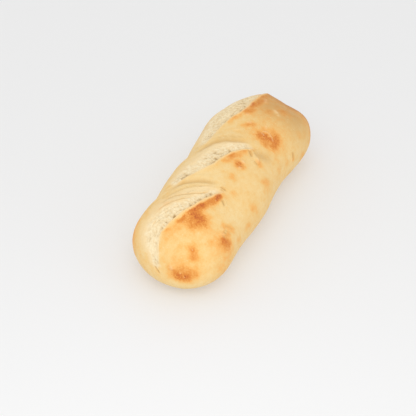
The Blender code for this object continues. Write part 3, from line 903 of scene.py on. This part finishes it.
points = points + shift
points[:, 2] = np.maximum(points[:, 2], 0.0)
low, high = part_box("loaf")
middle = (points[:, :2].min(axis=0) + points[:, :2].max(axis=0)) / 2.0
solid_middle = (np.array(low[:2]) + np.array(high[:2])) / 2.0
points[:, :2] += solid_middle - middle
set_places(dough, points)
bmesh.ops.recalc_face_normals(dough, faces=dough.faces[:])
loaf_mesh = bpy.data.meshes.new("baguette")
dough.to_mesh(loaf_mesh)
dough.free()
loaf_mesh.shade_smooth()
measures = {
    "crumb": crumb,
    "pit_shade": pit_shade,
    "painted_crumb_shade": painted_crumb_shade,
    "rim": rim,
    "baked": baked,
    "spotted": spotted,
    "crease_shade": crease_shade,
    "pale": pale,
    "toast_and_shade": toast_and_shade,
    "stretched": stretched,
}
for name, values in measures.items():
    attribute = loaf_mesh.attributes.new(name, "FLOAT", "POINT")
    attribute.data.foreach_set("value", values.astype(np.float32))
attribute = loaf_mesh.attributes.new("pull", "FLOAT_VECTOR", "POINT")
attribute.data.foreach_set("vector", pull.astype(np.float32).ravel())
loaf = bpy.data.objects.new("baguette", loaf_mesh)
bpy.context.scene.collection.objects.link(loaf)


# ---------------------------------------------------------------- crust and crumb
# The finish is baked flour: pale gold skin that browns to orange where it is hottest, a fine matt grain,
# and cream crumb inside the cuts, with soft grey-brown shade painted into its holes and hollows.

PALE_SKIN = (0.870, 0.640, 0.305, 1.0)
GOLD = (0.855, 0.555, 0.210, 1.0)
DEEP_GOLD = (0.870, 0.445, 0.120, 1.0)
ORANGE = (0.736, 0.274, 0.047, 1.0)
BROWN = (0.602, 0.164, 0.027, 1.0)
DARK_BROWN = (0.420, 0.102, 0.022, 1.0)
STRETCHED_SKIN = (0.900, 0.700, 0.410, 1.0)
CRUMB_CREAM = (0.935, 0.785, 0.510, 1.0)
PAINTED_SHADE_CRUMB = (0.840, 0.645, 0.370, 1.0)
HOLE_SHADE_BROWN = (0.500, 0.335, 0.150, 1.0)
CREASE_TAN_AND_SHADE = (0.640, 0.390, 0.140, 1.0)
TOAST_AND_SHADE_TAN = (0.490, 0.262, 0.085, 1.0)
RIM_CREAM = (0.900, 0.670, 0.360, 1.0)
FLOUR_AND_GLINT_CREAM = (0.930, 0.760, 0.470, 1.0)
BLISTER_HIGHLIGHT = (0.950, 0.700, 0.370, 1.0)

# How the crust's colour goes from pale to dark as it browns.
BROWNING_STOPS = (
    (0.0, PALE_SKIN),
    (0.2, GOLD),
    (0.36, DEEP_GOLD),
    (0.56, ORANGE),
    (0.80, BROWN),
    (1.0, DARK_BROWN),
)

# Each grain's scale, in bumps to the metre, and detail, and how much it browns the crust.
BROAD = (60.0, 2.0)
MEDIUM = (240.0, 3.0)
FINE = (900.0, 3.0)
HAIRS = (1.0, 2.0)
HAIR_SCALE = (1100.0, 1100.0, 350.0)
FIRST_BROWNING = 0.09
BROAD_BROWNING = 0.26
MEDIUM_BROWNING = 0.32
FINE_BROWNING = 0.28
HAIR_BROWNING = 0.8
SPECKLE_SCALE = 800.0
SPECKLE_LEVEL = 0.42
SPECKLE_BROWNING = 0.38

# The streaks of the stretched skin, whose scale is along the cut, away from it and between the cuts.
STREAKS = (1.0, 3.0)
STREAK_SCALE = (130.0, 1000.0, 100.0)
STREAK_SWING = 0.9
STREAK_LEVEL = 0.65

# Pale flecks, partly flour and partly painted glints, the crumb's grain and the pale rim of the lips.
FLECK_SCALE = 360.0
FLECK_RADIUS = 0.13
FLECK_RARITY = 0.72
FLECK_STRENGTH = 0.30
CRUMB_GRAIN = (700.0, 4.0)
CRUMB_SWING = 1.2
RIM_STRENGTH = 0.55

# Gloss, roughness and bump.
GLOSS = 0.25
ROUGHNESS = 0.60
ROUGHNESS_SWING = 0.25
BUMP_STRENGTH = 0.7
BUMP_HEIGHT = 0.0004
CRUMB_BUMP = 0.45
STREAK_BUMP = 0.8
NOISE_ROUGHNESS = 0.6

crust = bpy.data.materials.new("baked crust and crumb")
crust.use_nodes = True
tree = crust.node_tree
shader = tree.nodes["Principled BSDF"]
shader.inputs["Metallic"].default_value = 0.0
shader.inputs["Specular IOR Level"].default_value = GLOSS


def node(kind, **settings):
    """Add a shader node with the given properties."""
    made = tree.nodes.new(kind)
    for name, value in settings.items():
        setattr(made, name, value)
    return made


def measure(name):
    """The value of one of the loaf's own measures."""
    return node("ShaderNodeAttribute", attribute_name=name).outputs["Fac"]


def math_of(operation, *values):
    """A Math node over sockets and plain numbers."""
    made = node("ShaderNodeMath", operation=operation)
    for value, socket in zip(values, made.inputs):
        if isinstance(value, float):
            socket.default_value = value
        else:
            tree.links.new(value, socket)
    return made.outputs[0]


def red_of(socket):
    """The red part of a colour."""
    made = node("ShaderNodeSeparateColor")
    tree.links.new(socket, made.inputs["Color"])
    return made.outputs["Red"]


def mixed(factor, first, second):
    """A mix of two colours, either of which may be a socket or a plain colour."""
    made = node("ShaderNodeMix", data_type="RGBA")
    tree.links.new(factor, made.inputs["Factor"])
    for value, socket in ((first, made.inputs[6]), (second, made.inputs[7])):
        if isinstance(value, tuple):
            socket.default_value = value
        else:
            tree.links.new(value, socket)
    return made.outputs[2]


def scaled(place, scale):
    """A place stretched along its three axes."""
    made = node("ShaderNodeMapping")
    made.inputs["Scale"].default_value = scale
    tree.links.new(place, made.inputs["Vector"])
    return made.outputs["Vector"]


def grain_of(place, scale, detail):
    """Noise round zero whose bumps are about 1 / scale of the place's unit."""
    made = node("ShaderNodeTexNoise")
    made.inputs["Scale"].default_value = scale
    made.inputs["Detail"].default_value = detail
    made.inputs["Roughness"].default_value = NOISE_ROUGHNESS
    tree.links.new(place, made.inputs["Vector"])
    return math_of("SUBTRACT", made.outputs["Fac"], 0.5)


def froth_of(place, scale):
    """Round cells, about 1 / scale of the place's unit across."""
    made = node("ShaderNodeTexVoronoi")
    made.inputs["Scale"].default_value = scale
    tree.links.new(place, made.inputs["Vector"])
    return made


skin_place = node("ShaderNodeTexCoord").outputs["Object"]
pulled = node("ShaderNodeAttribute", attribute_name="pull").outputs["Vector"]
streaks = grain_of(scaled(pulled, STREAK_SCALE), *STREAKS)
broad = grain_of(skin_place, *BROAD)
medium = grain_of(skin_place, *MEDIUM)
fine = grain_of(skin_place, *FINE)
hair = grain_of(scaled(skin_place, HAIR_SCALE), *HAIRS)

browning = math_of("ADD", measure("baked"), FIRST_BROWNING)
browning = math_of("MULTIPLY_ADD", broad, BROAD_BROWNING, browning)
browning = math_of("MULTIPLY_ADD", medium, MEDIUM_BROWNING, browning)
browning = math_of("MULTIPLY_ADD", fine, FINE_BROWNING, browning)
hair = math_of("MULTIPLY", hair, measure("spotted"))
browning = math_of("MULTIPLY_ADD", hair, HAIR_BROWNING, browning)
pinhead = froth_of(skin_place, SPECKLE_SCALE).outputs["Distance"]
speckle = math_of("MULTIPLY", math_of("SUBTRACT", pinhead, SPECKLE_LEVEL), measure("spotted"))
browning = math_of("MULTIPLY_ADD", speckle, SPECKLE_BROWNING, browning)
ramp = node("ShaderNodeValToRGB")
tree.links.new(browning, ramp.inputs["Fac"])
while len(ramp.color_ramp.elements) < len(BROWNING_STOPS):
    ramp.color_ramp.elements.new(0.5)
for element, (position, stop) in zip(ramp.color_ramp.elements, BROWNING_STOPS):
    element.position = position
    element.color = stop

stretch = math_of("MULTIPLY_ADD", streaks, STREAK_SWING, STREAK_LEVEL)
stretch = math_of("MULTIPLY", stretch, measure("stretched"))
colour = mixed(stretch, ramp.outputs["Color"], STRETCHED_SKIN)
# Toasting and painted shade dull the colour to tan.
colour = mixed(measure("toast_and_shade"), colour, TOAST_AND_SHADE_TAN)
colour = mixed(measure("crease_shade"), colour, CREASE_TAN_AND_SHADE)
# Blister tops get a painted highlight.
colour = mixed(measure("pale"), colour, BLISTER_HIGHLIGHT)
colour = mixed(math_of("MULTIPLY", measure("rim"), RIM_STRENGTH), colour, RIM_CREAM)
# Sparse pale flecks are partly flour and partly painted glints.
flecks = froth_of(skin_place, FLECK_SCALE)
near_middle = math_of("LESS_THAN", flecks.outputs["Distance"], FLECK_RADIUS)
chosen = math_of("GREATER_THAN", red_of(flecks.outputs["Color"]), FLECK_RARITY)
flour_and_glint = math_of("MULTIPLY", math_of("MULTIPLY", near_middle, chosen), FLECK_STRENGTH)
colour = mixed(flour_and_glint, colour, FLOUR_AND_GLINT_CREAM)
crumb_grain = grain_of(skin_place, *CRUMB_GRAIN)
# The crumb goes from cream towards a shaded copy of itself, partly by random grain and partly by painted
# shade in the hollows between its grains and strands.
crumb_tone_and_shade = math_of("MULTIPLY_ADD", crumb_grain, CRUMB_SWING, measure("painted_crumb_shade"))
crumb_colour = mixed(crumb_tone_and_shade, CRUMB_CREAM, PAINTED_SHADE_CRUMB)
# Painted grey-brown shade darkens the crumb's pores, holes and cracks.
crumb_colour = mixed(measure("pit_shade"), crumb_colour, HOLE_SHADE_BROWN)
colour = mixed(measure("crumb"), colour, crumb_colour)
tree.links.new(colour, shader.inputs["Base Color"])

roughness = math_of("MULTIPLY_ADD", medium, ROUGHNESS_SWING, ROUGHNESS)
tree.links.new(roughness, shader.inputs["Roughness"])
bump = node("ShaderNodeBump")
bump.inputs["Strength"].default_value = BUMP_STRENGTH
bump.inputs["Distance"].default_value = BUMP_HEIGHT
height = math_of("MULTIPLY_ADD", crumb_grain, CRUMB_BUMP, fine)
drawn_skin = math_of("MULTIPLY", streaks, measure("stretched"))
height = math_of("MULTIPLY_ADD", drawn_skin, STREAK_BUMP, height)
tree.links.new(height, bump.inputs["Height"])
tree.links.new(bump.outputs["Normal"], shader.inputs["Normal"])
loaf_mesh.materials.append(crust)
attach(loaf, "root")
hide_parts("loaf")


# ---------------------------------------------------------------- floor
# The loaf lies on a plain matt white board, wide enough to fill the picture. The board lets some light
# through from below, which keeps the shade where the loaf touches it light.

BOARD_HALF = 3.0
BOARD_GREY = (0.53, 0.53, 0.53, 1.0)
BOARD_ROUGHNESS = 0.6
BOARD_LIGHT = (1.0, 1.0, 1.0, 1.0)
BOARD_GLOW = 0.30

floor_mesh = bpy.data.meshes.new("floor")
plane = bmesh.new()
bmesh.ops.create_grid(plane, x_segments=1, y_segments=1, size=BOARD_HALF)
plane.to_mesh(floor_mesh)
plane.free()
floor = bpy.data.objects.new("floor", floor_mesh)
bpy.context.scene.collection.objects.link(floor)
board_finish = bpy.data.materials.new("pale board")
board_finish.use_nodes = True
board = board_finish.node_tree.nodes["Principled BSDF"]
board.inputs["Base Color"].default_value = BOARD_GREY
board.inputs["Roughness"].default_value = BOARD_ROUGHNESS
board.inputs["Emission Color"].default_value = BOARD_LIGHT
board.inputs["Emission Strength"].default_value = BOARD_GLOW
floor_mesh.materials.append(board_finish)


# ---------------------------------------------------------------- studio light
# A tent of white cloth lights the loaf almost evenly from all round. Two wide soft lamps, one in front of
# its near end and one at its right side, add a little shape.

TENT_WHITE = (1.0, 1.0, 1.0, 1.0)
TENT_STRENGTH = 0.90

# Each lamp: name, place, width, height and power.
LAMPS = (
    ("front lamp", (-0.44, -0.12, 0.38), 0.45, 0.45, 0.9),
    ("side lamp", (-0.25, -0.80, 0.32), 0.60, 0.40, 0.4),
)

world = bpy.data.worlds.new("studio")
world.use_nodes = True
tent = world.node_tree.nodes["Background"]
tent.inputs["Color"].default_value = TENT_WHITE
tent.inputs["Strength"].default_value = TENT_STRENGTH
bpy.context.scene.world = world
for name, place, width, height, power in LAMPS:
    data = bpy.data.lights.new(name, "AREA")
    data.shape = "RECTANGLE"
    data.size = width
    data.size_y = height
    data.energy = power
    light = bpy.data.objects.new(name, data)
    light.location = place
    light.rotation_euler = (-Vector(place)).to_track_quat("-Z", "Y").to_euler()
    bpy.context.scene.collection.objects.link(light)


# ---------------------------------------------------------------- camera
# The camera stands on its tripod beyond the loaf's near end, a little to its right, and looks down on it
# through a long lens.

VIEW_AZIMUTH = math.radians(-68.73)
VIEW_ELEVATION = math.radians(35.0)
VIEW_DISTANCE = 1.4
VIEW_TARGET = Vector((-0.02196, 0.00122, 0.020))
FOCAL_PIXELS = 2050.0
PICTURE_PIXELS = 416.0
SENSOR = 36.0

back = Vector((
    math.sin(VIEW_AZIMUTH) * math.cos(VIEW_ELEVATION),
    -math.cos(VIEW_AZIMUTH) * math.cos(VIEW_ELEVATION),
    math.sin(VIEW_ELEVATION),
))
camera_data = bpy.data.cameras.new("camera")
camera_data.sensor_width = SENSOR
camera_data.lens = FOCAL_PIXELS / PICTURE_PIXELS * SENSOR
camera = bpy.data.objects.new("camera", camera_data)
camera.location = VIEW_TARGET + back * VIEW_DISTANCE
camera.rotation_euler = back.to_track_quat("Z", "Y").to_euler()
bpy.context.scene.collection.objects.link(camera)
bpy.context.scene.camera = camera
bpy.context.scene.view_settings.view_transform = "Standard"
